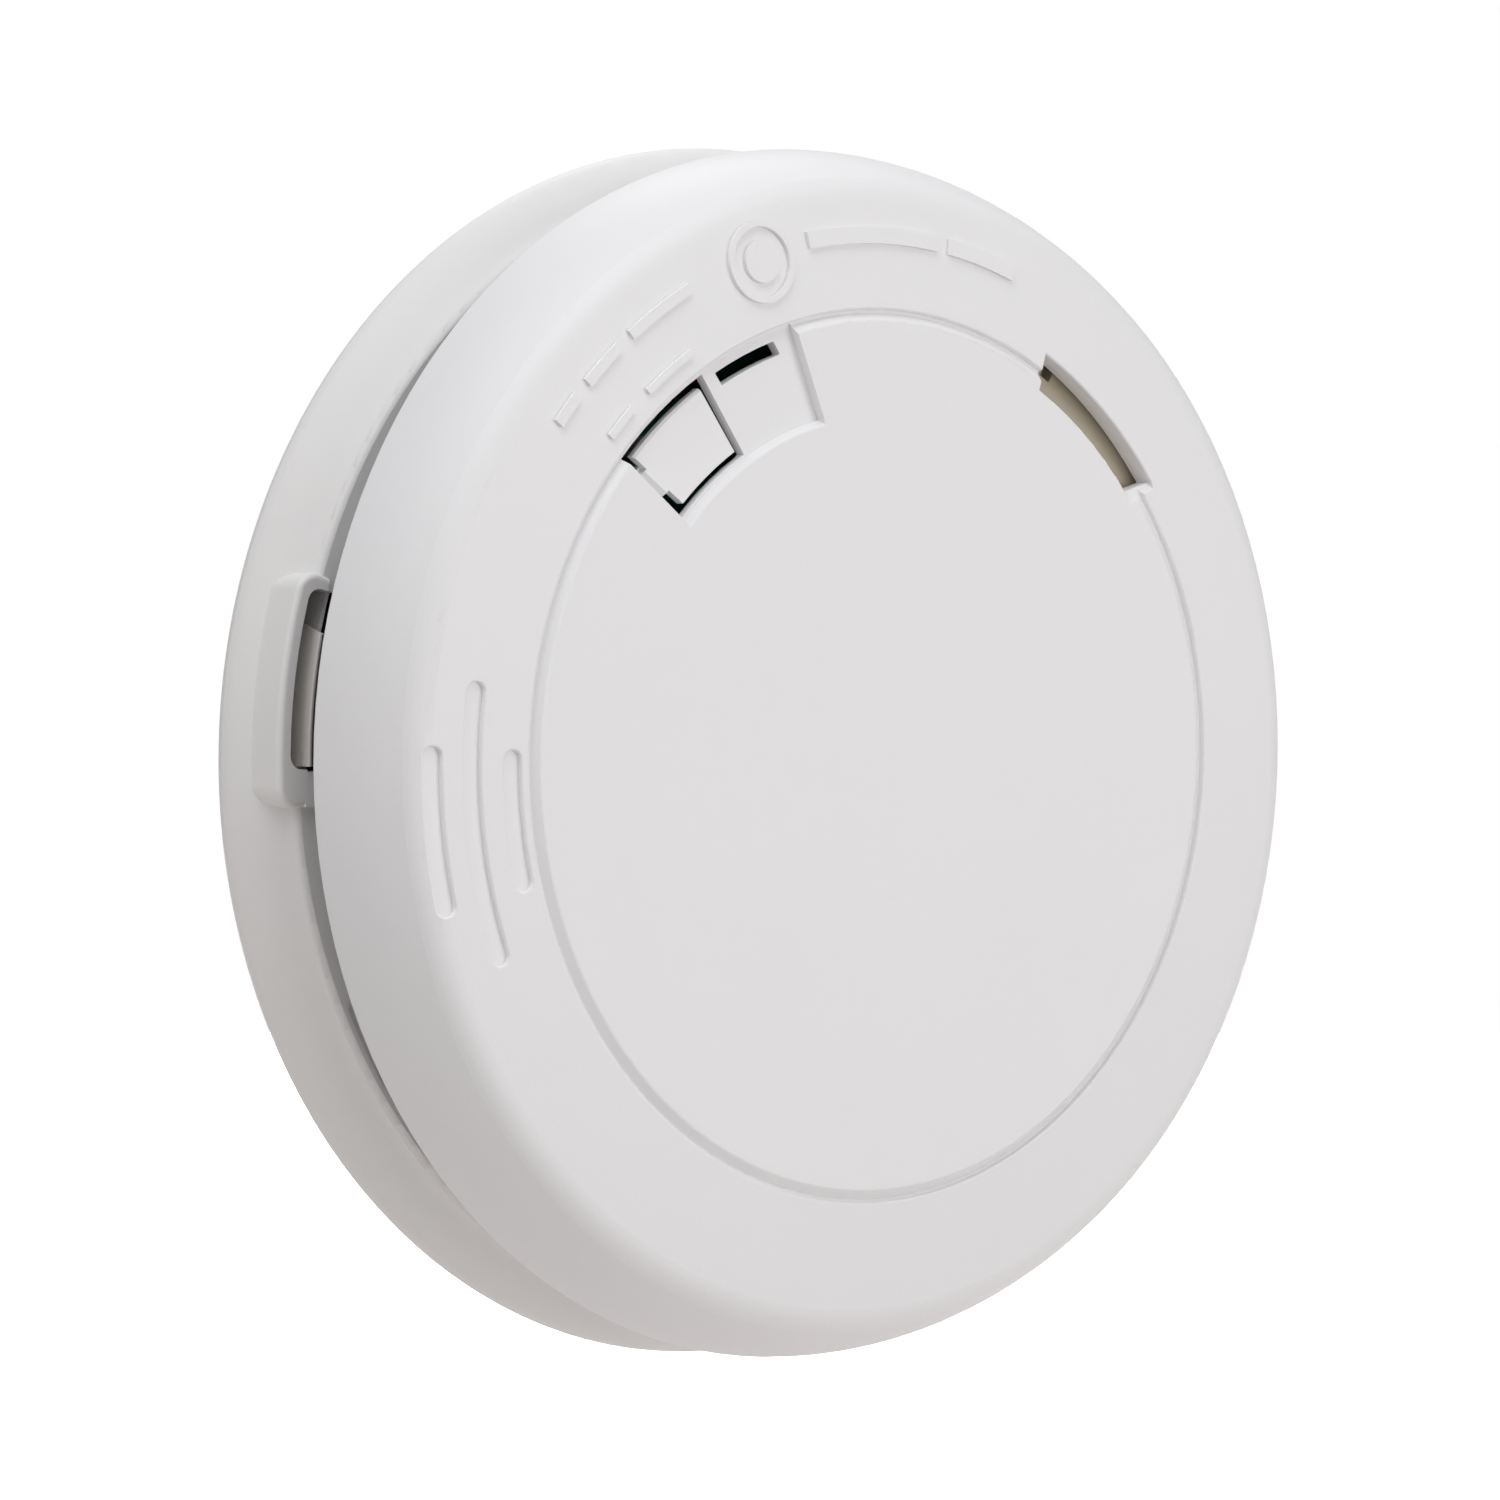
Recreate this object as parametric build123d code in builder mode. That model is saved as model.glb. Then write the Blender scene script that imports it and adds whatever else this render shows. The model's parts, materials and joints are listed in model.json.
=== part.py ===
"""Round battery smoke alarm on its wall bracket, in millimetres.

The wall is the plane Y = 0 and the alarm faces -Y, with +Z up. "Depth" is the distance from the
wall towards the room, so a depth of 10 is Y = -10. The axis of the alarm is the Y axis.
"""
from math import atan2, cos, degrees, radians, sin
import os

from build123d import *

os.makedirs("parts", exist_ok=True)

# ---- driving dimensions ----------------------------------------------------------------------

# front cover
cover_radius = 70.5        # at its rear edge
cover_rear = 18.1          # depth of the rear edge
face_depth = 32.5          # depth of the flat centre disc
cover_wall = 2.0
wall_lean = 4.3            # degrees, how far the side wall leans in at the rear edge
wall_arc = (23.6, 29.3)    # radius and turn of the barrel-shaped side wall
corner_arc = (3.87, 50.4)  # radius and turn of the rounded corner
dome_arc = (334.0, 2.2)    # radius and turn of the gently domed border
ring_radius = 51.0         # groove round the centre disc

# wall bracket
bracket_radius = 71.5
bracket_depth = 10.0
bracket_plate = 2.2
bracket_bore = 65.9        # inside radius of its upstanding wall
bracket_wall = 1.5
lip_radius = 64.5          # inside radius of the lip under the alarm's edge, on the left
lip_back = 8.0
cable_opening = 32.0       # radius of the opening in the plate
slot_spacing = 86.0        # between the centres of the two screw slots
slot_width = 4.6
slot_length = 14.0

# rear housing
housing_back = 3.2
housing_floor = 2.0
housing_radius = 64.0
housing_wall = 1.8
housing_rim = 10.4         # depth of the top of its low wall
low_rim = 7.3              # the same beside the latch finger
low_rim_angles = (158.0, 182.0)
floor_front = housing_back + housing_floor

# bayonet and twist
twist_travel = 14.0        # degrees from locked to released
bayonet_angles = (90, 210, 330)
bayonet_span = 12.0
lug_radius = 65.4
lug_back = 4.8
lug_front = 7.2
ledge_back = 7.5
ledge_front = 9.5

# circuit board
board_back = 13.0
board_thickness = 1.6
board_front = board_back + board_thickness
board_radius = 56.0
board_screw_points = ((52.0, 0.0), (-22.0, -47.0), (-5.0, 52.0))

# screws: radius of the threaded core, and the cross in their heads
screw_core = 1.2
cross_length = 2.6
cross_width = 0.5
cover_screw_head = 2.1
board_screw_head = 2.4
board_screw_head_height = 1.6
board_screw_length = 6.0
cover_screw_length = 9.0
board_boss = 3.4
post_circle = 59.5         # the four posts of the cover screws
first_post = 15.0
post_radius = 2.4

# test button and its recess
recess_floor = 31.3
button_face = 31.0
button_thickness = 1.1
button_radii = (40.75, 49.4)
button_inner = (121.5, 136.2)   # degrees, along the inner edge
button_outer = (122.3, 137.6)   # degrees, along the outer edge
button_notch = (2.4, 0.9)       # along and across the hinge side, at both its ends
hinge_point = (-34.5, 29.0)     # X and Z of the middle of the button's hinge
hinge_depth = 29.35
hinge_bead = 0.8
hinge_direction = Vector(-0.790, 0, 0.613)
hinge_clearance = 0.07
hinge_half_length = 3.8
saddle_length = 1.35
tab_size = (3.2, 1.1, 4.6)      # across the hinge, thick, along the hinge
stem_reach = 8.0                # from the hinge to the button's stem

# sensing chamber, horn, battery
chamber_centre = (9.0, -24.0)
chamber_radius = 23.0
horn_centre_radius = 38.0
horn_angle = 50.0
horn_radius = 17.5
horn_front = 28.8
battery_x = -42.0
battery_depth = 14.2
battery_radius = 8.5
battery_base = -12.0            # Z of its lower end
battery_length = 33.5

# sliders inside the housing
pin_circle = 40.0               # the bracket's pin that turns the activation slider
pin_angle = 270.0
pin_radius = 1.5
deactivate_centre = (12.0, 9.0)
deactivate_travel = 6.0

section = Plane(origin=(0, 0, 0), x_dir=(1, 0, 0), z_dir=(0, 0, -1))
outward = Axis((0, 0, 0), (0, -1, 0))

# plane across the button's hinge: X towards the button's free side, Y towards the wall
hinge_across = Vector(hinge_direction.Z, 0, -hinge_direction.X)
hinge_plane = Plane(
    origin=(hinge_point[0], -hinge_depth, hinge_point[1]),
    x_dir=hinge_across, z_dir=hinge_direction,
)
stem_point = (
    hinge_point[0] + stem_reach * hinge_across.X,
    hinge_point[1] + stem_reach * hinge_across.Z,
)


# ---- helpers ---------------------------------------------------------------------------------

def at_depth(depth):
    """Sketch plane parallel to the wall: X right, Z up, extruding towards the room."""
    return Plane(origin=(0, -depth, 0), x_dir=(1, 0, 0), z_dir=(0, -1, 0))


def polar(radius, angle):
    return (radius * cos(radians(angle)), radius * sin(radians(angle)))


def half_plane(angle):
    """Section plane through the axis at an angle: radius to the right, depth up."""
    along = (cos(radians(angle)), 0, sin(radians(angle)))
    normal = (sin(radians(angle)), 0, -cos(radians(angle)))
    return Plane(origin=(0, 0, 0), x_dir=along, z_dir=normal)


def patch(inner, outer, inner_angles, outer_angles=None, corner=0.0, outer_corner=0.0):
    """Face between two radii, whose ends may lean, added to the sketch being drawn."""
    outer_angles = outer_angles or inner_angles
    with BuildLine() as outline:
        inside = CenterArc((0, 0), inner, inner_angles[0], inner_angles[1] - inner_angles[0])
        outside = CenterArc((0, 0), outer, outer_angles[0], outer_angles[1] - outer_angles[0])
        Line(inside @ 0, outside @ 0)
        Line(inside @ 1, outside @ 1)
    face = Face(Wire(outline.edges()))
    if corner:
        face = face.fillet_2d(corner, face.vertices())
    if outer_corner:
        outer_points = [v for v in face.vertices() if v.distance_to((0, 0, 0)) > outer - 0.01]
        face = face.fillet_2d(outer_corner, outer_points)
    add(face)


def finish(part, name):
    """Label a piece and write it to its own file."""
    part.part.label = name
    export_step(part.part, "parts/" + name + ".step")


# ---- mounting bracket ------------------------------------------------------------------------

pocket_angles = (163.2, 180.6)       # pocket of the latch finger, on the left side
pocket_outer = 68.2
pocket_inner = 60.0
pocket_back = 3.0
pocket_wall = (64.35, 64.8)          # radii of the low wall behind the finger's tip
pocket_wall_end = 169.2
pocket_wall_front = 8.9
bulge_angles = (161.9, 184.2)
bulge_radius = 69.8
bulge_back = 0.8
bulge_front = 10.8
bulge_rounding = 0.7
finger_radii = (65.1, 66.1)
finger_tip = 166.4                   # degrees
finger_root = 180.3
finger_back = 3.2
finger_front = 11.3
finger_clearance = 0.25
pivot_angle = 182.3
pivot = polar(66.4, pivot_angle)
pivot_bead = 0.85
pivot_clearance = 0.07
pivot_front = 8.8                    # the bracket closes over the pivot
tooth_angles = (170.0, 172.4)
tooth_radius = 63.3
tooth_back = 4.9
tooth_front = 6.9

with BuildPart() as mounting_bracket:
    with BuildSketch(section):
        with BuildLine():
            Line((cable_opening, 0), (bracket_radius - 1.3, 0))
            ThreePointArc(
                (bracket_radius - 1.3, 0), (bracket_radius - 0.5, 0.9), (bracket_radius, 2.2))
            Spline(
                (bracket_radius, 2.2), (70.7, 4.3), (68.6, 7.2), (67.3, 9.1),
                tangents=((0, 1), (-0.45, 1)),
            )
            ThreePointArc((67.3, 9.1), (67.0, 9.7), (66.5, bracket_depth))
            Line((66.5, bracket_depth), (bracket_bore, bracket_depth))
            Line((bracket_bore, bracket_depth), (bracket_bore, bracket_plate))
            Line((bracket_bore, bracket_plate), (cable_opening, bracket_plate))
            Line((cable_opening, bracket_plate), (cable_opening, 0))
        make_face()
    revolve(axis=Axis.Y)
    # channel behind the skirt, open to the wall
    with BuildSketch(section):
        with BuildLine():
            Polyline(
                (bracket_bore + bracket_wall, 0), (69.0, 0), (69.9, 1.9), (68.9, 4.2),
                (bracket_bore + bracket_wall, 6.2), close=True,
            )
        make_face()
    revolve(axis=Axis.Y, mode=Mode.SUBTRACT)
    # shallow pockets in the back, which leave rings and ribs against the wall
    with BuildSketch(at_depth(0)):
        for start in range(24, 360, 45):
            patch(52.5, 64.0, (start, start + 30), corner=2.0)
    extrude(amount=1.0, mode=Mode.SUBTRACT)
    # ribs that stiffen the channel
    rib_half_angle = 0.5
    with BuildSketch(at_depth(0)):
        for angle in range(0, 360, 15):
            patch(67.0, 69.3, (angle - rib_half_angle, angle + rib_half_angle))
    extrude(amount=2.0)
    # bulge on the left side, which stands out of the skirt round the latch finger
    with BuildSketch(at_depth(bulge_back)):
        patch(bracket_bore, bulge_radius, bulge_angles, outer_corner=2.4)
    extrude(amount=bulge_front - bulge_back)
    bulge_face = mounting_bracket.faces().sort_by(Axis.Y)[0]
    bulge_rim = [
        edge for edge in bulge_face.edges()
        if Vector((edge @ 0.5).X, 0, (edge @ 0.5).Z).length > bracket_bore + 0.3
    ]
    fillet(bulge_rim, bulge_rounding)
    with BuildSketch(at_depth(pocket_back)):
        patch(pocket_inner, pocket_outer, pocket_angles, outer_corner=1.6)
    extrude(amount=bracket_depth, mode=Mode.SUBTRACT)
    # low wall that closes the pocket behind the finger's tip
    with BuildSketch(at_depth(bracket_plate)):
        patch(pocket_wall[0], pocket_wall[1], (bulge_angles[0], pocket_wall_end))
    extrude(amount=pocket_wall_front - bracket_plate)
    # socket and neck channel of the latch finger's pivot
    with BuildSketch(at_depth(pocket_back)):
        with Locations(pivot):
            Circle(pivot_bead + pivot_clearance)
        patch(
            pocket_inner, finger_radii[1] + finger_clearance,
            (pocket_angles[1] - 0.5, pivot_angle),
        )
    extrude(amount=pivot_front + finger_clearance - pocket_back, mode=Mode.SUBTRACT)
    # lip under the alarm's edge, clear of the lugs as they turn, and the bridge over the pivot
    with BuildSketch(at_depth(lip_back)):
        patch(lip_radius, bracket_bore + 0.4, (112.0, pocket_angles[0] - 0.2))
        patch(lip_radius, bracket_bore + 0.4, (bulge_angles[1] - 0.6, 204.5))
        patch(lip_radius, bracket_bore + 0.4, (232.0, 260.0))
    extrude(amount=bracket_depth - lip_back)
    with BuildSketch(at_depth(pivot_front + finger_clearance)):
        patch(lip_radius, bracket_bore + 0.4, (pocket_angles[1] + 0.2, bulge_angles[1]))
    extrude(amount=bulge_front - pivot_front - finger_clearance)
    # bayonet ledges
    with BuildSketch(at_depth(ledge_back)):
        for angle in bayonet_angles:
            patch(64.4, bracket_bore + 0.4, (angle - bayonet_span / 2, angle + bayonet_span / 2))
    extrude(amount=ledge_front - ledge_back)
    # screw slots, with a raised pad round each
    slot_pad = 3.0
    slot_places = ((-slot_spacing / 2, 0), (slot_spacing / 2, 0))
    with BuildSketch(at_depth(bracket_plate)):
        with Locations(*slot_places):
            SlotOverall(slot_length + 2 * slot_pad, slot_width + 2 * slot_pad)
    extrude(amount=0.5)
    with BuildSketch(at_depth(0)):
        with Locations(*slot_places):
            SlotOverall(slot_length, slot_width)
    extrude(amount=bracket_depth, mode=Mode.SUBTRACT)
    # pin that holds the activation slider while the alarm turns
    with BuildSketch(at_depth(bracket_plate)):
        with Locations(polar(pin_circle, pin_angle)):
            Circle(pin_radius)
    extrude(amount=5.6)
finish(mounting_bracket, "mounting_bracket")

# latch finger, hinged in the bracket's pocket
with BuildPart() as latch_finger:
    with BuildSketch(at_depth(finger_back)):
        patch(*finger_radii, (finger_tip, finger_root))
    extrude(amount=finger_front - finger_back)
    # thin front edge: bevelled inside, just rounded outside
    middle_angle = (finger_tip + finger_root) / 2
    for radius, bevel in ((finger_radii[0], 0.65), (finger_radii[1], 0.15)):
        x, z = polar(radius, middle_angle)
        front_edges = latch_finger.faces().sort_by(Axis.Y)[0].edges()
        chamfer(front_edges.sort_by_distance((x, -finger_front, z))[0], bevel)
    # slanted tip: X along the finger from its tip, Y the depth
    tip_angle = radians(finger_tip)
    tip_plane = Plane(
        origin=(pocket_inner * cos(tip_angle), 0, pocket_inner * sin(tip_angle)),
        x_dir=(-sin(tip_angle), 0, cos(tip_angle)), z_dir=(cos(tip_angle), 0, sin(tip_angle)),
    )
    with BuildSketch(tip_plane):
        Polygon((-1.0, 7.3), (0, 7.3), (1.45, 12.0), (-1.0, 12.0), align=None)
    extrude(amount=pocket_outer - pocket_inner, mode=Mode.SUBTRACT)
    # neck and bead of the pivot
    with BuildSketch(at_depth(finger_back)):
        patch(*finger_radii, (finger_root - 0.5, pivot_angle))
        with Locations(pivot):
            Circle(pivot_bead)
    extrude(amount=pivot_front - finger_back)
    # tooth that drops into the housing's notch
    with BuildSketch(at_depth(tooth_back)):
        patch(tooth_radius, finger_radii[0] + 0.3, tooth_angles)
    extrude(amount=tooth_front - tooth_back)
finish(latch_finger, "latch_finger")

# ---- rear housing ----------------------------------------------------------------------------

label_centre = (0, -13.0)
label_size = (38.0, 20.0)

with BuildPart() as rear_housing:
    with BuildSketch(at_depth(housing_back)):
        Circle(housing_radius)
    extrude(amount=housing_rim - housing_back)
    with BuildSketch(at_depth(floor_front)):
        Circle(housing_radius - housing_wall)
    extrude(amount=housing_rim, mode=Mode.SUBTRACT)
    chamfer(rear_housing.faces().sort_by(Axis.Y)[-1].edges(), 0.6)
    # the wall is lower beside the latch finger
    with BuildSketch(at_depth(low_rim)):
        patch(61.0, housing_radius + 0.5, low_rim_angles)
    extrude(amount=housing_rim, mode=Mode.SUBTRACT)
    # bayonet lugs
    with BuildSketch(at_depth(lug_back)):
        for angle in bayonet_angles:
            patch(
                housing_radius - 0.5, lug_radius,
                (angle - bayonet_span / 2 + 0.5, angle + bayonet_span / 2 - 0.5),
            )
    extrude(amount=lug_front - lug_back)
    # notch for the latch finger's tooth, as long as the twist
    with BuildSketch(at_depth(tooth_back - 0.4)):
        patch(
            61.0, housing_radius + 0.5,
            (tooth_angles[0] - twist_travel - 1.0, tooth_angles[1] + 0.8),
        )
    extrude(amount=low_rim - tooth_back + 1.0, mode=Mode.SUBTRACT)
    # bosses that carry the board
    with BuildSketch(at_depth(floor_front)):
        with Locations(*board_screw_points):
            Circle(board_boss)
    extrude(amount=board_back - floor_front)
    with BuildSketch(at_depth(board_back - board_screw_length - 0.5)):
        with Locations(*board_screw_points):
            Circle(screw_core)
    extrude(amount=board_screw_length + 1, mode=Mode.SUBTRACT)
    # holes for the cover screws, counterbored from the back
    with BuildSketch(at_depth(housing_back)):
        with PolarLocations(post_circle, 4, start_angle=first_post):
            Circle(screw_core)
    extrude(amount=housing_floor, mode=Mode.SUBTRACT)
    with BuildSketch(at_depth(housing_back)):
        with PolarLocations(post_circle, 4, start_angle=first_post):
            Circle(cover_screw_head + 0.1)
    extrude(amount=1.0, mode=Mode.SUBTRACT)
    # arc slot for the bracket's pin
    with BuildSketch(at_depth(housing_back)):
        patch(
            pin_circle - 2.0, pin_circle + 2.0,
            (pin_angle - twist_travel - 3.2, pin_angle + 3.2), corner=1.2,
        )
    extrude(amount=housing_floor, mode=Mode.SUBTRACT)
    # cradle under the battery
    with BuildSketch(at_depth(floor_front)):
        for z in (-5.0, 15.0):
            with Locations((battery_x, z)):
                Rectangle(19.0, 1.6)
    extrude(amount=4.5)
    with BuildSketch(Plane(origin=(battery_x, -battery_depth, -20), z_dir=(0, 0, 1))):
        Circle(battery_radius)
    extrude(amount=50, mode=Mode.SUBTRACT)
    # slot of the deactivation slider, with guide rails inside
    with BuildSketch(at_depth(housing_back)):
        with Locations(deactivate_centre):
            SlotOverall(deactivate_travel + 7, 4.0)
    extrude(amount=housing_floor, mode=Mode.SUBTRACT)
    with BuildSketch(at_depth(floor_front)):
        for side in (-1, 1):
            with Locations((deactivate_centre[0], deactivate_centre[1] + side * 5.0)):
                Rectangle(24.0, 1.2)
    extrude(amount=2.5)
    # shallow recess for the rear label
    with BuildSketch(at_depth(housing_back)):
        with Locations(label_centre):
            RectangleRounded(label_size[0] + 0.4, label_size[1] + 0.4, 1.7)
    extrude(amount=0.3, mode=Mode.SUBTRACT)
finish(rear_housing, "rear_housing")

with BuildPart() as rear_label:
    with BuildSketch(at_depth(housing_back + 0.1)):
        with Locations(label_centre):
            RectangleRounded(*label_size, 1.5)
    extrude(amount=0.2)
finish(rear_label, "rear_label")

with BuildPart() as cover_screws:
    with BuildSketch(at_depth(housing_back + 0.1)):
        with PolarLocations(post_circle, 4, start_angle=first_post):
            Circle(cover_screw_head)
    extrude(amount=0.9)
    with BuildSketch(at_depth(housing_back + 1.0)):
        with PolarLocations(post_circle, 4, start_angle=first_post):
            Circle(screw_core)
    extrude(amount=cover_screw_length)
    with BuildSketch(at_depth(housing_back)):
        with PolarLocations(post_circle, 4, start_angle=first_post):
            Rectangle(cross_length, cross_width)
            Rectangle(cross_width, cross_length)
    extrude(amount=0.7, mode=Mode.SUBTRACT)
finish(cover_screws, "cover_screws")

# ---- front cover -----------------------------------------------------------------------------

recess_inner = 39.6
recess_outer = 51.2
horn_opening_radii = (49.0, 53.4)
horn_opening_inner = (38.8, 60.7)
horn_opening_outer = (36.9, 61.6)
relief = 0.3                 # height of the raised bars and the medallion
medallion_root = 0.5         # how far the medallion reaches into the cover
skirt_radius = 62.7
skirt_rear = 18.4


def surface_depth(radius):
    """Depth of the front at a radius: the flat disc, then the domed border out to the corner."""
    if radius < ring_radius - 1:
        return face_depth
    share = (radius - ring_radius) / (63.8 - ring_radius)
    return 32.3 - 0.85 * share - 0.24 * share ** 2


def rim_edges(part, radii, angles):
    """Edges of a part that lie in its front surface, between two radii and two angles."""
    found = []
    for edge in part.edges():
        on_rim = True
        for point in (edge @ 0, edge @ 0.5, edge @ 1):
            radius = Vector(point.X, 0, point.Z).length
            angle = degrees(atan2(point.Z, point.X)) % 360
            on_rim = on_rim and radii[0] < radius < radii[1] and angles[0] < angle < angles[1]
            on_rim = on_rim and abs(-point.Y - surface_depth(radius)) < 0.45
        if on_rim:
            found.append(edge)
    return found


with BuildPart() as front_cover:
    with BuildSketch(section) as cover_section:
        with BuildLine():
            lean = radians(wall_lean)
            rear_outer = (cover_radius, cover_rear)
            rear_inner = (cover_radius - cover_wall * cos(lean), cover_rear - cover_wall * sin(lean))
            outer_wall = JernArc(rear_outer, (-sin(lean), cos(lean)), *wall_arc)
            outer_corner = JernArc(outer_wall @ 1, outer_wall % 1, *corner_arc)
            outer_dome = JernArc(outer_corner @ 1, outer_corner % 1, *dome_arc)
            Line(outer_dome @ 1, (ring_radius - 0.8, face_depth))
            Line((ring_radius - 0.8, face_depth), (0, face_depth))
            Line((0, face_depth), (0, face_depth - cover_wall))
            inner_wall = JernArc(
                rear_inner, (-sin(lean), cos(lean)), wall_arc[0] - cover_wall, wall_arc[1])
            inner_corner = JernArc(
                inner_wall @ 1, inner_wall % 1, corner_arc[0] - cover_wall, corner_arc[1])
            inner_dome = JernArc(
                inner_corner @ 1, inner_corner % 1, dome_arc[0] - cover_wall, dome_arc[1])
            Line(inner_dome @ 1, (0, face_depth - cover_wall))
            Line(rear_inner, rear_outer)
        make_face()
        # groove round the centre disc: a steep outer side and a wide inner bevel
        with BuildLine():
            Polyline(
                (ring_radius + 0.55, 33), (ring_radius + 0.3, 31.6), (ring_radius - 0.05, 31.55),
                (ring_radius - 1.0, face_depth), (ring_radius - 1.0, 33), close=True,
            )
        make_face(mode=Mode.SUBTRACT)
        # round the groove's edges and the rear edge
        for radius, depth, rounding in (
            (ring_radius + 0.43, 32.2, 0.25), (ring_radius - 1.0, face_depth, 0.5),
            (ring_radius - 0.05, 31.55, 0.15), (cover_radius, cover_rear, 0.4),
        ):
            corner = cover_section.vertices().sort_by_distance(Vector(radius, depth, 0))[0]
            fillet(corner, rounding)
    revolve(axis=Axis.Y)
    # pads inside, where the recessed panel and the horn opening need more depth
    with BuildSketch(at_depth(recess_floor - 1.3)):
        patch(38.4, 52.0, (102.0, 120.6), (103.5, 121.4))
    extrude(amount=1.0)
    with BuildSketch(at_depth(29.4)):
        patch(47.8, 54.9, (36.0, 62.6))
    extrude(amount=1.6)
    # inner skirt, on which the insect screen seats
    with BuildSketch(at_depth(skirt_rear)):
        Circle(skirt_radius + 1.5)
        Circle(skirt_radius, mode=Mode.SUBTRACT)
    extrude(amount=29.6 - skirt_rear)
    # screw posts
    with BuildSketch(at_depth(floor_front)):
        with PolarLocations(post_circle, 4, start_angle=first_post):
            Circle(post_radius)
    extrude(amount=30.0 - floor_front)
    with BuildSketch(at_depth(floor_front)):
        with PolarLocations(post_circle, 4, start_angle=first_post):
            Circle(screw_core)
    extrude(amount=cover_screw_length, mode=Mode.SUBTRACT)
    # recess of the button and its blank panel
    with BuildSketch(at_depth(recess_floor)):
        patch(recess_inner, recess_outer, (103.4, 137.8), (105.4, 138.6))
    extrude(amount=3, mode=Mode.SUBTRACT)
    with BuildSketch(half_plane(103.4)):
        with BuildLine():
            Polyline(
                (recess_inner + 0.4, recess_floor), (recess_inner + 0.1, recess_floor),
                (recess_inner - 0.8, 33), (recess_inner + 0.4, 33), close=True,
            )
        make_face()
    revolve(axis=outward, revolution_arc=34.4, mode=Mode.SUBTRACT)
    fillet(rim_edges(front_cover, (recess_inner - 0.9, recess_inner - 0.3), (103, 139)), 0.3)
    # opening for the button
    with BuildSketch(at_depth(28)):
        patch(39.9, 50.7, (120.3, 137.8), (121.3, 138.6))
    extrude(amount=6, mode=Mode.SUBTRACT)
    # light slot in the panel
    with BuildSketch(at_depth(28)):
        patch(48.2, 49.9, (107.9, 119.0), (108.5, 119.3), corner=0.2)
    extrude(amount=6, mode=Mode.SUBTRACT)
    # horn opening, with a bevel at its lower end
    with BuildSketch(at_depth(28)):
        patch(horn_opening_radii[0], horn_opening_radii[1], horn_opening_inner, horn_opening_outer)
    extrude(amount=6, mode=Mode.SUBTRACT)
    for radius in horn_opening_radii:
        fillet(rim_edges(front_cover, (radius - 0.1, radius + 0.1), (36, 62)), 0.25)
    low_end = Vector(*polar(horn_opening_radii[0], horn_opening_inner[0]))
    along = Vector(*polar(horn_opening_radii[1], horn_opening_outer[0])) - low_end
    bevel_plane = Plane(
        origin=(low_end.X, -face_depth, low_end.Y),
        x_dir=(along.Y, 0, -along.X), z_dir=(along.X, 0, along.Y),
    )
    with BuildSketch(bevel_plane):
        Polygon((-0.3, -1.0), (2.5, -1.0), (0.0, 1.2), (-0.3, 1.2), align=None)
    extrude(amount=along.length, mode=Mode.SUBTRACT)
    # three curved grooves on the left
    for radius, start, end in ((63.65, 178.0, 194.8), (58.7, 171.0, 201.8), (53.5, 178.2, 194.9)):
        with BuildSketch(at_depth(surface_depth(radius) - 0.6)):
            patch(radius - 1.1, radius + 1.1, (start, end), corner=1.05)
        extrude(amount=3, mode=Mode.SUBTRACT)
        fillet(rim_edges(front_cover, (radius - 1.15, radius + 1.15), (start - 1, end + 1)), 0.25)
    # plain raised bars on the border
    for radius, height, start, end in (
        (59.9, 1.9, 70.0, 80.0), (59.9, 1.9, 81.8, 100.6),
        (60.0, 1.2, 118.2, 127.8), (60.0, 1.2, 129.8, 135.6), (60.0, 1.2, 137.5, 141.4),
        (53.9, 0.8, 122.0, 130.2), (53.9, 0.8, 133.2, 138.0),
    ):
        low = radius - height / 2
        high = radius + height / 2
        with BuildSketch(half_plane(start)):
            with BuildLine():
                Polyline(
                    (low, surface_depth(low) - 0.6), (low, surface_depth(low) + relief),
                    (high, surface_depth(high) + relief), (high, surface_depth(high) - 0.6),
                    close=True,
                )
            make_face()
        revolve(axis=outward, revolution_arc=end - start)
    # plain raised medallion above the recess
    tilt = radians(5.0)
    medallion_circle = 59.0
    x, z = polar(medallion_circle, 107.7)
    toward = Vector(x, 0, z).normalized()
    medallion_plane = Plane(
        origin=(x, -surface_depth(medallion_circle), z),
        x_dir=(toward.Z, 0, -toward.X),
        z_dir=(toward.X * sin(tilt), -cos(tilt), toward.Z * sin(tilt)),
    )
    with BuildSketch(medallion_plane.offset(-medallion_root)):
        Circle(4.7)
        Circle(4.0, mode=Mode.SUBTRACT)
        Circle(2.4)
    extrude(amount=medallion_root + relief)
    # hinge saddles for the button
    for start in (-hinge_half_length, hinge_half_length - saddle_length):
        with BuildSketch(hinge_plane.offset(start)):
            with Locations((0, 0.05)):
                Rectangle(3.2, 2.7)
            Circle(hinge_bead + hinge_clearance, mode=Mode.SUBTRACT)
        extrude(amount=saddle_length)
finish(front_cover, "front_cover")

# ---- test button -----------------------------------------------------------------------------

stem_radius = 1.2
stem_length = 8.85                   # from the hinge's depth to the stem's round tip
spare = 1.0                          # how far the notches' cutters reach past the plate

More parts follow.
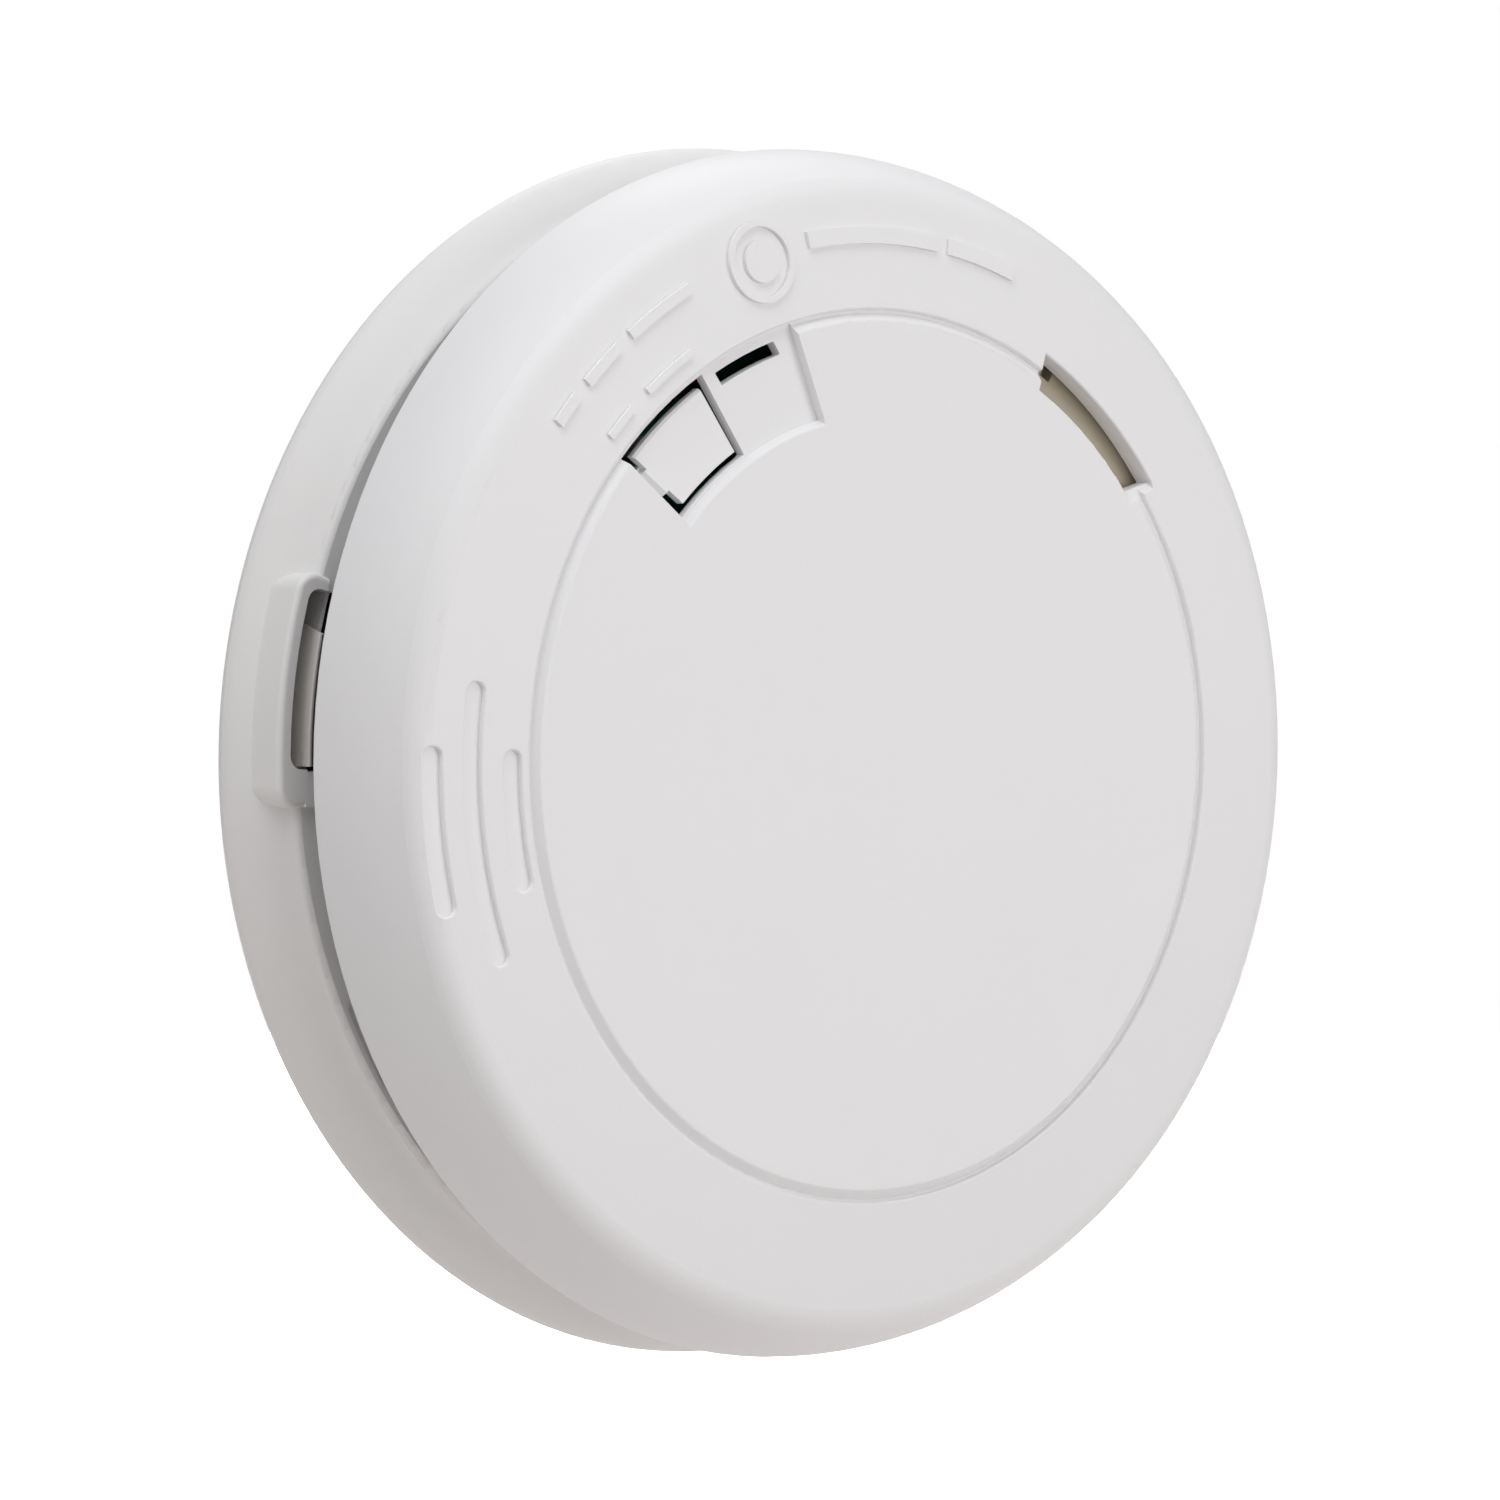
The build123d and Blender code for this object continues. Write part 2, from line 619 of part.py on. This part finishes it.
with BuildPart() as test_button:
    with BuildSketch(at_depth(button_face - button_thickness)):
        patch(*button_radii, button_inner, button_outer)
    extrude(amount=button_thickness)
    # bevel along the outer edge and the hinge side
    for radius, angle, bevel in ((button_radii[1], 130.0, 0.3), (45.0, 136.9, 0.5)):
        x, z = polar(radius, angle)
        front_edges = test_button.faces().sort_by(Axis.Y)[0].edges()
        chamfer(front_edges.sort_by_distance((x, -button_face, z))[0], bevel)
    # notches at both ends of the hinge side
    near_end = Vector(*polar(button_radii[0], button_inner[1]))
    side = Vector(*polar(button_radii[1], button_outer[1])) - near_end
    side_plane = Plane(
        origin=(near_end.X, -button_face, near_end.Y),
        x_dir=(side.X, 0, side.Y), z_dir=(0, 1, 0),
    )
    with BuildSketch(side_plane):
        middle = (button_notch[0] - spare) / 2
        with Locations((middle, 0), (side.length - middle, 0)):
            Rectangle(button_notch[0] + spare, 2 * button_notch[1])
    extrude(amount=button_thickness + spare, mode=Mode.SUBTRACT)
    # tab that runs under the cover to the hinge bead
    with BuildSketch(hinge_plane.offset(-tab_size[2] / 2)):
        with Locations((tab_size[0] / 2, -0.2)):
            Rectangle(tab_size[0], tab_size[1])
    extrude(amount=tab_size[2])
    with BuildSketch(hinge_plane.offset(-hinge_half_length)):
        Circle(hinge_bead)
    extrude(amount=2 * hinge_half_length)
    # stem down to the switch, with a round tip
    stem_top = button_face - button_thickness / 2
    with BuildSketch(Plane(origin=(stem_point[0], -stem_top, stem_point[1]), z_dir=(0, 1, 0))):
        Circle(stem_radius)
    extrude(amount=stem_top - hinge_depth + stem_length - stem_radius)
    with Locations((stem_point[0], stem_length - stem_radius - hinge_depth, stem_point[1])):
        Sphere(stem_radius)
finish(test_button, "test_button")

# ---- circuit board and what is soldered to it ------------------------------------------------

with BuildPart() as circuit_board:
    with BuildSketch(at_depth(board_back)):
        Circle(board_radius)
        with Locations((battery_x - 10, battery_base + battery_length / 2)):
            Rectangle(41.0, battery_length + 6.0, mode=Mode.SUBTRACT)
        with Locations(*board_screw_points):
            Circle(screw_core + 0.3, mode=Mode.SUBTRACT)
    extrude(amount=board_thickness)
finish(circuit_board, "circuit_board")

with BuildPart() as board_screws:
    with BuildSketch(at_depth(board_front)):
        with Locations(*board_screw_points):
            Circle(board_screw_head)
    extrude(amount=board_screw_head_height)
    fillet(board_screws.faces().sort_by(Axis.Y)[:3].edges(), 0.6)
    with BuildSketch(at_depth(board_back - board_screw_length)):
        with Locations(*board_screw_points):
            Circle(screw_core)
    extrude(amount=board_screw_length + board_thickness)
    with BuildSketch(at_depth(board_front + board_screw_head_height - 0.9)):
        with Locations(*board_screw_points):
            Rectangle(cross_length, cross_width)
            Rectangle(cross_width, cross_length)
    extrude(amount=1.0, mode=Mode.SUBTRACT)
finish(board_screws, "board_screws")

switch_side = 6.0
switch_height = 3.5
plunger_radius = 1.75
plunger_clearance = 0.05
plunger_base = 2.3                   # above the board
plunger_play = 0.1                   # between the plunger and the button's stem

with BuildPart() as test_switch_body:
    with BuildSketch(at_depth(board_front)):
        with Locations(stem_point):
            RectangleRounded(switch_side, switch_side, 0.4)
    extrude(amount=switch_height)
    with BuildSketch(at_depth(board_front + plunger_base - 0.7)):
        with Locations(stem_point):
            Circle(plunger_radius + plunger_clearance)
    extrude(amount=switch_height, mode=Mode.SUBTRACT)
finish(test_switch_body, "test_switch_body")

with BuildPart() as test_switch_plunger:
    with BuildSketch(at_depth(board_front + plunger_base)):
        with Locations(stem_point):
            Circle(plunger_radius)
    extrude(amount=hinge_depth - stem_length - plunger_play - board_front - plunger_base)
finish(test_switch_plunger, "test_switch_plunger")

led_circle = 47.6
led_angles = (117.5, 111.5)
led_points = [polar(led_circle, angle) for angle in led_angles]
led_radius = 1.5
led_height = 5.6

with BuildPart() as led_holder:
    with BuildSketch(at_depth(board_front)):
        with Locations(*led_points):
            Circle(led_radius + 0.9)
        patch(led_circle - 1.0, led_circle + 1.0, (led_angles[1], led_angles[0]))
        with Locations(*led_points):
            Circle(led_radius + 0.05, mode=Mode.SUBTRACT)
    extrude(amount=led_height - 1.6)
finish(led_holder, "led_holder")

for name, point in (("power_led", led_points[0]), ("alarm_led", led_points[1])):
    with BuildPart() as led:
        with BuildSketch(at_depth(board_front)):
            with Locations(point):
                Circle(led_radius)
        extrude(amount=led_height)
        fillet(led.faces().sort_by(Axis.Y)[0].edges(), led_radius - 0.3)
    finish(led, name)


def flat_chip(name, centre, size, height, leads, pitch):
    """Flat chip with two rows of leads, standing on the board."""
    with BuildPart() as chip:
        with BuildSketch(at_depth(board_front + 0.15)):
            with Locations(centre):
                Rectangle(*size)
        extrude(amount=height)
        with BuildSketch(at_depth(board_front)):
            with Locations(centre):
                with GridLocations(pitch, size[1] + 1.3, leads, 2):
                    Rectangle(pitch * 0.4, 1.7)
        extrude(amount=0.4)
    finish(chip, name)


flat_chip("microcontroller", centre=(-10.0, 20.0), size=(6.5, 4.4), height=1.1, leads=10, pitch=0.65)
flat_chip("horn_driver", centre=(-4.0, 6.0), size=(5.0, 4.0), height=1.4, leads=4, pitch=1.27)

inductor_centre = (4.0, 14.0)
inductor_height = 6.5
flange_height = 1.0
with BuildPart() as boost_inductor:
    for radius, low, high in (
        (4.0, 0, flange_height), (2.6, flange_height, inductor_height - flange_height),
        (4.0, inductor_height - flange_height, inductor_height),
    ):
        with BuildSketch(at_depth(board_front + low)):
            with Locations(inductor_centre):
                Circle(radius)
        extrude(amount=high - low)
finish(boost_inductor, "boost_inductor")

with BuildPart() as capacitors:
    with BuildSketch(at_depth(board_front)):
        with Locations((-20.0, 8.0), (-20.0, 16.5), (-28.0, -22.0)):
            Circle(3.15)
    extrude(amount=7.0)
    fillet(capacitors.faces().sort_by(Axis.Y)[:3].edges(), 0.5)
finish(capacitors, "capacitors")

with BuildPart() as resistors:
    with BuildSketch(at_depth(board_front)):
        with Locations((-15.0, 0.0), (-22.0, -6.0)):
            with GridLocations(3.0, 4.0, 3, 2):
                Rectangle(2.0, 1.25)
    extrude(amount=0.6)
finish(resistors, "resistors")

# ---- smoke sensing chamber -------------------------------------------------------------------

sensor_depth = 21.0
sensor_height = 6.0                  # Z of the light path above the chamber's centre
chamber_floor = board_front + 1.8
holder_offset = 11.5

with BuildPart() as chamber_base:
    with BuildSketch(at_depth(board_front)):
        with Locations(chamber_centre):
            Circle(chamber_radius)
    extrude(amount=chamber_floor - board_front)
    for side in (-1, 1):
        with BuildSketch(at_depth(chamber_floor)):
            with Locations((chamber_centre[0] + side * holder_offset, chamber_centre[1] + sensor_height)):
                Rectangle(7.0, 6.0)
        extrude(amount=8.0)
    with BuildSketch(
        Plane(
            origin=(chamber_centre[0] - 20, -sensor_depth, chamber_centre[1] + sensor_height),
            z_dir=(1, 0, 0),
        )
    ):
        Circle(1.6)
    extrude(amount=40, mode=Mode.SUBTRACT)
finish(chamber_base, "chamber_base")

for name, side in (("infrared_emitter", -1), ("photodiode", 1)):
    with BuildPart() as sensor:
        back = chamber_centre[0] + side * (holder_offset + 2.0)
        with BuildSketch(
            Plane(
                origin=(back, -sensor_depth, chamber_centre[1] + sensor_height),
                z_dir=(-side, 0, 0),
            )
        ):
            Circle(1.5)
        extrude(amount=4.5)
        fillet(sensor.faces().sort_by(Axis.X)[0 if side > 0 else -1].edges(), 1.2)
    finish(sensor, name)

with BuildPart() as photodiode_shield:
    with BuildSketch(at_depth(chamber_floor)):
        with Locations((chamber_centre[0] + holder_offset + 3.7, chamber_centre[1] + sensor_height)):
            Rectangle(0.4, 5.0)
    extrude(amount=7.4)
finish(photodiode_shield, "photodiode_shield")

with BuildPart() as chamber_cap:
    with BuildSketch(at_depth(chamber_floor)):
        with Locations(chamber_centre):
            with PolarLocations(19.6, 20):
                Rectangle(3.6, 0.9, rotation=38)
    extrude(amount=11.4)
    with BuildSketch(at_depth(chamber_floor + 11.4)):
        with Locations(chamber_centre):
            Circle(21.8)
    extrude(amount=1.4)
finish(chamber_cap, "chamber_cap")

with BuildPart() as chamber_screen:
    with BuildSketch(at_depth(chamber_floor)):
        with Locations(chamber_centre):
            Circle(22.5)
            Circle(22.1, mode=Mode.SUBTRACT)
    extrude(amount=12.6)
finish(chamber_screen, "chamber_screen")

screen_radii = (skirt_radius + 0.5, skirt_radius + 0.9)
with BuildPart() as insect_screen:
    with BuildSketch(at_depth(low_rim)):
        patch(*screen_radii, low_rim_angles)
    extrude(amount=housing_rim - low_rim)
    with BuildSketch(at_depth(housing_rim)):
        Circle(screen_radii[1])
        Circle(screen_radii[0], mode=Mode.SUBTRACT)
    extrude(amount=skirt_rear - housing_rim)
finish(insect_screen, "insect_screen")

# ---- horn ------------------------------------------------------------------------------------

horn_centre = polar(horn_centre_radius, horn_angle)
horn_wall = 1.4
disc_depth = 20.0                    # front of the brass disc, which the housing's step stops
disc_back = disc_depth - 0.4
ceramic_back = disc_back - 0.3
horn_step = 2.0
deck_back = 23.6
with BuildPart() as horn_housing:
    with BuildSketch(at_depth(board_front)):
        with Locations(horn_centre):
            Circle(horn_radius)
    extrude(amount=horn_front - board_front)
    with BuildSketch(at_depth(deck_back)):
        patch(44.0, 60.4, (32.0, 68.0), corner=1.5)
    extrude(amount=horn_front - deck_back)
    with BuildSketch(at_depth(board_front)):
        with Locations(horn_centre):
            Circle(horn_radius - horn_wall)
    extrude(amount=disc_depth - board_front, mode=Mode.SUBTRACT)
    with BuildSketch(at_depth(disc_depth)):
        with Locations(horn_centre):
            Circle(horn_radius - horn_wall - horn_step)
    extrude(amount=horn_front - horn_wall - disc_depth, mode=Mode.SUBTRACT)
    with BuildSketch(at_depth(horn_front - horn_wall)):
        with Locations(horn_centre):
            Circle(2.5)
        with Locations(polar(53.6, 57.5)):
            Rectangle(2.4, 1.6, rotation=57.5)
    extrude(amount=horn_wall, mode=Mode.SUBTRACT)
finish(horn_housing, "horn_housing")

with BuildPart() as horn_disc:
    with BuildSketch(at_depth(disc_back)):
        with Locations(horn_centre):
            Circle(horn_radius - horn_wall - 0.1)
    extrude(amount=disc_depth - disc_back)
finish(horn_disc, "horn_disc")

with BuildPart() as horn_ceramic:
    with BuildSketch(at_depth(ceramic_back)):
        with Locations(horn_centre):
            Circle(11.0)
    extrude(amount=disc_back - ceramic_back)
finish(horn_ceramic, "horn_ceramic")

ring_height = 1.5
with BuildPart() as horn_ring:
    with BuildSketch(at_depth(disc_back - ring_height)):
        with Locations(horn_centre):
            Circle(horn_radius - horn_wall)
            Circle(horn_radius - horn_wall - horn_step, mode=Mode.SUBTRACT)
    extrude(amount=ring_height)
finish(horn_ring, "horn_ring")

with BuildPart() as horn_contacts:
    foot = 1.2
    for offset, top in ((0, ceramic_back), (12.4, disc_back), (-7.5, ceramic_back)):
        point = (horn_centre[0] + offset, horn_centre[1])
        with BuildSketch(at_depth(board_front)):
            with Locations(point):
                Circle(1.1)
        extrude(amount=foot)
        with BuildSketch(at_depth(board_front + foot)):
            with Locations(point):
                Circle(0.6)
        extrude(amount=top - board_front - foot)
finish(horn_contacts, "horn_contacts")

# ---- battery ---------------------------------------------------------------------------------

battery_plane = Plane(origin=(battery_x, -battery_depth, battery_base), x_dir=(1, 0, 0), z_dir=(0, 0, 1))
with BuildPart() as battery_cell:
    with BuildSketch(battery_plane):
        Circle(battery_radius - 0.02)
    extrude(amount=battery_length - 1.0)
    fillet(battery_cell.edges().filter_by(GeomType.CIRCLE), 0.7)
    with BuildSketch(battery_plane.offset(battery_length - 1.0)):
        Circle(3.2)
    extrude(amount=1.0)
finish(battery_cell, "battery_cell")

tab_width = 5.0
tab_foot = 6.0
tab_thickness = 0.2
with BuildPart() as battery_tab_negative:
    low_end = battery_base - tab_thickness
    with BuildSketch(at_depth(battery_depth - 3.0)):
        with Locations((battery_x, low_end + tab_thickness / 2)):
            Rectangle(tab_width, tab_thickness)
    extrude(amount=3.0 + board_front + tab_thickness - battery_depth)
    with BuildSketch(at_depth(board_front)):
        with Locations((battery_x, low_end - tab_foot / 2)):
            Rectangle(tab_width, tab_foot)
    extrude(amount=tab_thickness)
finish(battery_tab_negative, "battery_tab_negative")

with BuildPart() as battery_tab_positive:
    high_end = battery_base + battery_length
    with BuildSketch(at_depth(battery_depth - 2.5)):
        with Locations((battery_x, high_end + tab_thickness / 2)):
            Rectangle(tab_width, tab_thickness)
    extrude(amount=2.5 + board_front + tab_thickness - battery_depth)
    with BuildSketch(at_depth(board_front)):
        with Locations((battery_x, high_end + tab_thickness + tab_foot / 2)):
            Rectangle(tab_width, tab_foot)
    extrude(amount=tab_thickness)
finish(battery_tab_positive, "battery_tab_positive")

# ---- sliders and their contacts --------------------------------------------------------------

slider_gap = 0.25
activation_height = 3.2
contact_radii = (42.2, 45.4)
with BuildPart() as activation_slider:
    with BuildSketch(at_depth(floor_front + slider_gap)):
        patch(35.0, 45.0, (pin_angle - 7.5, pin_angle + 7.5), corner=0.8)
        with Locations(polar(pin_circle, pin_angle)):
            Circle(1.9, mode=Mode.SUBTRACT)
    extrude(amount=activation_height)
    with BuildSketch(at_depth(floor_front + slider_gap + activation_height)):
        patch(43.0, 44.6, (pin_angle - 3.0, pin_angle + 3.0))
    extrude(amount=board_back - 1.0 - floor_front - slider_gap - activation_height)
finish(activation_slider, "activation_slider")

with BuildPart() as activation_contacts:
    with BuildSketch(at_depth(board_back - 0.4)):
        patch(*contact_radii, (pin_angle - twist_travel - 6.0, pin_angle - 7.0))
        patch(*contact_radii, (pin_angle + 3.6, pin_angle + 8.0))
    extrude(amount=0.4)
finish(activation_contacts, "activation_contacts")

with BuildPart() as deactivation_slider:
    start_x = deactivate_centre[0] - deactivate_travel / 2
    with BuildSketch(at_depth(floor_front + slider_gap)):
        with Locations((start_x, deactivate_centre[1])):
            Rectangle(12.0, 8.2)
    extrude(amount=1.8)
    with BuildSketch(at_depth(housing_back + 0.2)):
        with Locations((start_x, deactivate_centre[1])):
            SlotOverall(6.6, 3.5)
    extrude(amount=housing_floor + slider_gap)
    with BuildSketch(at_depth(housing_back + 0.2)):
        with Locations((start_x, deactivate_centre[1])):
            with GridLocations(1.4, 0, 3, 1):
                Rectangle(0.5, 3.0)
    extrude(amount=0.4, mode=Mode.SUBTRACT)
finish(deactivation_slider, "deactivation_slider")
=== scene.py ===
"""Smoke alarm on its bracket: looks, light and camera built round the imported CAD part."""
import json
import math

import bpy
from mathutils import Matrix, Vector

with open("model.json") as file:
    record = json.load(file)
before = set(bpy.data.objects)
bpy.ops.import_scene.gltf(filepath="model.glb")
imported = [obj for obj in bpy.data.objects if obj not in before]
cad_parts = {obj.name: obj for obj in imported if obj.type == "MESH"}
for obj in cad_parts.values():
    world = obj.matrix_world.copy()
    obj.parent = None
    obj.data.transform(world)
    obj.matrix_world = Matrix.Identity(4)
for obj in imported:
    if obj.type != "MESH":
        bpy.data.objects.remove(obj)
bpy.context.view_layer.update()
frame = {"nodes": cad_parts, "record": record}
nodes = frame["nodes"]


# ---- camera ----------------------------------------------------------------------------------

camera_data = bpy.data.cameras.new("camera")
camera = bpy.data.objects.new("camera", camera_data)
bpy.context.scene.collection.objects.link(camera)
bpy.context.scene.camera = camera
camera.location = (-0.4325, -0.5271, 0.01905)
camera.rotation_mode = "QUATERNION"
camera.rotation_quaternion = (-camera.location).to_track_quat("-Z", "Y")
camera_data.sensor_width = 36.0
camera_data.lens = 137.1
camera_data.shift_x = 0.0293
camera_data.shift_y = 0.0005
camera_data.clip_start = 0.01
camera_data.clip_end = 50.0


# ---- materials -------------------------------------------------------------------------------

mm_per_metre = 1000.0
drift_scale = 22.0               # patches of colour a few centimetres across
drift_detail = 4.0
drift_edges = (0.32, 0.68)       # the noise values where the two tints are reached
grain_detail = 3.0
grain_roughness = 0.6
rough_drift = 0.07               # how far the grain moves the roughness, up and down
lowest_rough = 0.05


def moulded(name, base, rough=0.5, grain=0.4, grain_depth=0.012, tint=0.05, coat=0.0,
            metallic=0.0):
    """A moulded or rolled surface: slow colour drift, fine grain in bump and roughness.

    base is its colour, and tint the share of it that the drift adds and takes away. grain is the
    size of the surface's texture and grain_depth its depth, both in millimetres.
    """
    material = bpy.data.materials.new(name)
    material.use_nodes = True
    tree = material.node_tree
    shader = tree.nodes["Principled BSDF"]
    place = tree.nodes.new("ShaderNodeTexCoord")

    drift = tree.nodes.new("ShaderNodeTexNoise")
    drift.inputs["Scale"].default_value = drift_scale
    drift.inputs["Detail"].default_value = drift_detail
    tree.links.new(place.outputs["Object"], drift.inputs["Vector"])
    ramp = tree.nodes.new("ShaderNodeValToRGB")
    for stop, edge, change in zip(ramp.color_ramp.elements, drift_edges, (1 - tint, 1 + tint)):
        stop.position = edge
        stop.color = (*[min(1, c * change) for c in base], 1)
    tree.links.new(drift.outputs["Fac"], ramp.inputs["Fac"])
    tree.links.new(ramp.outputs["Color"], shader.inputs["Base Color"])

    fine = tree.nodes.new("ShaderNodeTexNoise")
    fine.inputs["Scale"].default_value = mm_per_metre / grain
    fine.inputs["Detail"].default_value = grain_detail
    fine.inputs["Roughness"].default_value = grain_roughness
    tree.links.new(place.outputs["Object"], fine.inputs["Vector"])
    spread = tree.nodes.new("ShaderNodeMapRange")
    spread.inputs["To Min"].default_value = max(lowest_rough, rough - rough_drift)
    spread.inputs["To Max"].default_value = min(1.0, rough + rough_drift)
    tree.links.new(fine.outputs["Fac"], spread.inputs["Value"])
    tree.links.new(spread.outputs["Result"], shader.inputs["Roughness"])
    bump = tree.nodes.new("ShaderNodeBump")
    bump.inputs["Strength"].default_value = 1.0
    bump.inputs["Distance"].default_value = grain_depth / mm_per_metre
    tree.links.new(fine.outputs["Fac"], bump.inputs["Height"])
    tree.links.new(bump.outputs["Normal"], shader.inputs["Normal"])

    shader.inputs["Metallic"].default_value = metallic
    shader.inputs["Coat Weight"].default_value = coat
    return material


bright_metal = dict(rough=0.3, grain=0.3, grain_depth=0.004, metallic=1.0)
brass = dict(rough=0.3, grain=0.4, grain_depth=0.004, metallic=1.0)
recipes = {
    "cover_plastic": dict(rough=0.5, grain=0.45, grain_depth=0.02, tint=0.008),
    "bracket_plastic": dict(rough=0.5, grain=0.6, grain_depth=0.025, tint=0.008),
    # the latch finger's beige-grey base is a painted lift: its tone stands in for the light
    # reaching into the bracket's pocket
    "finger_plastic": dict(base=(0.68, 0.655, 0.625), rough=0.5, grain=0.5, tint=0.01),
    # the housing keeps the record's dark colour: painted shade, dark plastic standing in for the
    # deep shade in the gap under the cover's rim, where the real housing is white
    "housing_plastic": dict(rough=0.5, grain=0.5, tint=0.01),
    "button_plastic": dict(rough=0.45, grain=0.4, grain_depth=0.012, tint=0.008),
    "label_film": dict(rough=0.3, grain=0.2, grain_depth=0.003),
    "screw_steel": bright_metal,
    # the board's green base is set lighter than the real laminate: painted light standing in for
    # the light that barely reaches it through the button slot
    "board_laminate": dict(base=(0.05, 0.38, 0.27), rough=0.35, grain=0.5, grain_depth=0.006,
                           tint=0.1),
    "disc_brass": brass,
    "contact_brass": brass,
    "screen_steel": dict(rough=0.4, grain=0.4, metallic=1.0),
    "shield_tin": bright_metal,
    "nickel_strip": bright_metal,
    "cell_sleeve": dict(rough=0.25, grain=0.6, grain_depth=0.006, tint=0.05, coat=0.3),
}

# a slot with no recipe keeps moulded()'s own values, and one with no base the record's colour
materials = {}
for entry in frame["record"]["materials"]:
    settings = dict(base=entry["base_color"][:3])
    settings.update(recipes.get(entry["slot"], {}))
    materials[entry["slot"]] = moulded(entry["slot"], **settings)

for part in frame["record"]["subparts"]:
    mesh = nodes[part["node"]].data
    mesh.materials.clear()
    mesh.materials.append(materials[part["material_slot"]])


# ---- floor and light -------------------------------------------------------------------------

floor_height = -0.28
floor_radius = 3.2
bpy.ops.mesh.primitive_circle_add(
    vertices=96, radius=floor_radius, fill_type="NGON", location=(0, 0, floor_height))
floor = bpy.context.object
floor.name = "floor"
floor_material = bpy.data.materials.new("floor_paint")
floor_material.use_nodes = True
floor_shader = floor_material.node_tree.nodes["Principled BSDF"]
floor_shader.inputs["Base Color"].default_value = (0.75, 0.71, 0.69, 1)
floor_shader.inputs["Roughness"].default_value = 0.9
floor.data.materials.append(floor_material)


def softbox(name, place, aim, size, power, colour=(1, 1, 1), spread=180):
    """An area light at a place, aimed at a point, in metres and watts."""
    data = bpy.data.lights.new(name, "AREA")
    data.shape = "RECTANGLE"
    data.size, data.size_y = size
    data.energy = power
    data.color = colour
    data.spread = math.radians(spread)
    light = bpy.data.objects.new(name, data)
    bpy.context.scene.collection.objects.link(light)
    light.location = place
    light.rotation_mode = "QUATERNION"
    light.rotation_quaternion = (Vector(aim) - Vector(place)).to_track_quat("-Z", "Y")


alarm = (0, 0, 0)
softbox("top_light", (-0.40, -0.35, 1.10), alarm, (1.1, 1.1), 9.0, (0.98, 0.98, 1.0))
softbox("front_light", (0.8, -1.45, 0.10), alarm, (1.1, 1.1), 10.3, (1.0, 0.99, 0.98))
# whitens the floor behind the alarm; its narrow spread keeps most of it off the alarm's back
softbox("back_light", (2.2, 2.6, 1.5), (2.2, 2.6, floor_height), (3.5, 3.5), 190, spread=110)
softbox("fill_light", (-1.55, -0.35, 0.85), alarm, (0.8, 0.8), 2.7, (0.99, 0.985, 0.99))

# the camera sees a white background, and the scene gets a weaker ambient light from it
world = bpy.data.worlds.new("studio")
bpy.context.scene.world = world
world.use_nodes = True
tree = world.node_tree
ambient = tree.nodes["Background"]
ambient.inputs["Color"].default_value = (1, 1, 1, 1)
ambient.inputs["Strength"].default_value = 0.27
backdrop = tree.nodes.new("ShaderNodeBackground")
backdrop.inputs["Color"].default_value = (1, 1, 1, 1)
backdrop.inputs["Strength"].default_value = 1.0
ray = tree.nodes.new("ShaderNodeLightPath")
mix = tree.nodes.new("ShaderNodeMixShader")
tree.links.new(ray.outputs["Is Camera Ray"], mix.inputs[0])
tree.links.new(ambient.outputs["Background"], mix.inputs[1])
tree.links.new(backdrop.outputs["Background"], mix.inputs[2])
tree.links.new(mix.outputs["Shader"], tree.nodes["World Output"].inputs["Surface"])
bpy.context.scene.view_settings.view_transform = "Standard"
